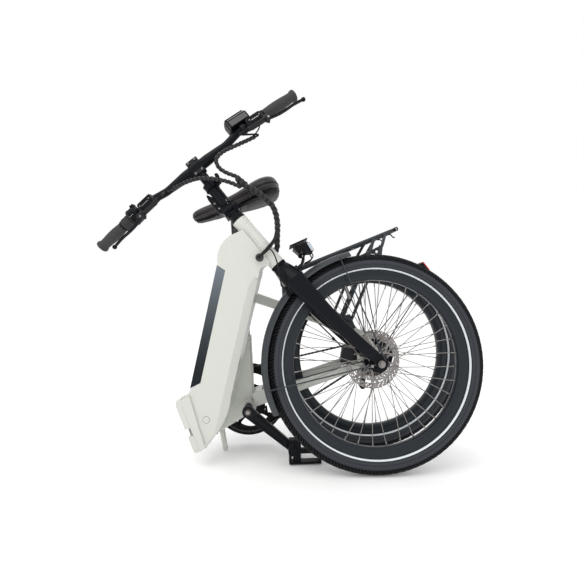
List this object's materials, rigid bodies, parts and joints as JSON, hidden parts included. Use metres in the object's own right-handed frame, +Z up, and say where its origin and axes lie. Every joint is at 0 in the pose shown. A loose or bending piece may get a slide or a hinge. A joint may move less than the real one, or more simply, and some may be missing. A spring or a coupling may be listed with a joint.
{
  "type": "folding electric bicycle",
  "caption": "Folding electric bicycle with balloon tyres, mudguards and a luggage rack, folded at its frame hinge and standing on both tyres and a support foot.",
  "frame": {"origin": "on the floor below the middle of the folded bicycle's bounding box", "axes": "+Z up, +X towards the rear wheel's tail, +Y towards the bicycle's right side, away from the folded front half"},
  "size_m": [1.1445, 0.3834, 1.1068],
  "materials": {
    "frame_paint": "satin pale grey-green paint",
    "black_paint": "satin black",
    "slate_cover": "dark slate moulding",
    "steel": "bright zinc and stainless steel",
    "black_plastic": "matt black",
    "rubber": "ribbed dark grey rubber",
    "tyre": "dark tread with a pale reflective stripe",
    "saddle_cover": "smooth black synthetic cover",
    "red_lens": "red reflector lens"
  },
  "bodies": {
    "rear_half": {"rear_frame": "frame_paint", "rear_stays": "frame_paint", "rear_hinge_plate": "frame_paint", "hinge_pin": "steel", "support_finger": "frame_paint", "luggage_rack": "black_paint", "rear_mudguard": "black_paint", "rear_reflector": "red_lens", "rear_axle": "steel", "derailleur": "black_plastic", "rear_caliper": "black_paint", "chain": "steel", "seat_clamp": "black_paint"},
    "saddle": {"seat_post": "black_paint", "saddle_pad": "saddle_cover", "saddle_rails": "steel"},
    "rear_wheel": {"rear_tyre": "tyre", "rear_rim": "black_paint", "rear_spokes": "steel", "rear_motor": "black_paint", "rear_rotor": "steel"},
    "cranks": {"crankset": "black_paint", "chainring": "black_paint"},
    "left_pedal": {"pedal_left": "black_plastic"},
    "right_pedal": {"pedal_right": "black_plastic"},
    "front_half": {"front_frame": "frame_paint", "front_hinge_plate": "frame_paint", "frame_latch": "steel", "battery": "slate_cover", "headset": "black_paint"},
    "steering": {"fork": "black_paint", "front_axle": "steel", "front_mudguard": "black_paint", "headlight": "black_plastic", "front_caliper": "black_paint", "handlepost_base": "black_paint"},
    "front_wheel": {"front_tyre": "tyre", "front_rim": "black_paint", "front_spokes": "steel", "front_hub": "black_paint", "front_rotor": "steel"},
    "handlepost": {"handlepost": "black_paint"},
    "post_slide": {"post_bushing": "black_plastic"},
    "handlebar": {"inner_post": "black_paint", "handlebar": "black_paint", "grips": "rubber", "brake_lever_left": "black_paint", "brake_lever_right": "black_paint", "shifter": "black_plastic", "display": "black_plastic"}
  },
  "joints": [
    {"name": "rear_wheel_spin", "type": "hinge", "parent": "rear_half", "child": "rear_wheel", "pos_m": [0.26633, 0.06469, 0.30612], "axis": [0, -1, 0], "continuous": true},
    {"name": "crank_turn", "type": "hinge", "parent": "rear_half", "child": "cranks", "pos_m": [-0.12825, 0.06469, 0.14792], "axis": [0, -1, 0], "range_deg": [-4, 90]},
    {"name": "left_pedal_spin", "type": "hinge", "parent": "cranks", "child": "left_pedal", "pos_m": [0.00292, -0.02331, 0.03979], "axis": [0, -1, 0], "continuous": true},
    {"name": "right_pedal_spin", "type": "hinge", "parent": "cranks", "child": "right_pedal", "pos_m": [-0.25943, 0.15268, 0.25605], "axis": [0, -1, 0], "continuous": true},
    {"name": "saddle_height", "type": "slide", "parent": "rear_half", "child": "saddle", "axis": [-0.075, 0, 0.9972], "range_m": [-0.12, 0.06]},
    {"name": "frame_fold", "type": "hinge", "parent": "rear_half", "child": "front_half", "pos_m": [-0.27132, 0.01969, 0.10511], "axis": [0.3605, 0, -0.9328], "range_deg": [0, 169.6]},
    {"name": "steering", "type": "hinge", "parent": "front_half", "child": "steering", "pos_m": [-0.04342, -0.09661, 0.58169], "axis": [-0.6542, 0.0621, 0.7538], "range_deg": [-7, 12]},
    {"name": "front_wheel_spin", "type": "hinge", "parent": "steering", "child": "front_wheel", "pos_m": [0.23222, -0.12051, 0.30611], "axis": [0.0325, 0.998, -0.054], "continuous": true},
    {"name": "handlepost_fold", "type": "hinge", "parent": "steering", "child": "handlepost", "pos_m": [-0.17831, -0.10783, 0.73752], "axis": [-0.7824, -0.0082, -0.6227], "range_deg": [-170, 0]},
    {"name": "handlepost_height", "type": "slide", "parent": "handlepost", "child": "post_slide", "axis": [-0.622, 0.0625, 0.7806], "range_m": [0, 0.06]},
    {"name": "handlebar_turn", "type": "hinge", "parent": "post_slide", "child": "handlebar", "pos_m": [-0.17753, -0.08388, 0.73622], "axis": [-0.622, 0.0625, 0.7806], "range_deg": [0, 94]}
  ]
}
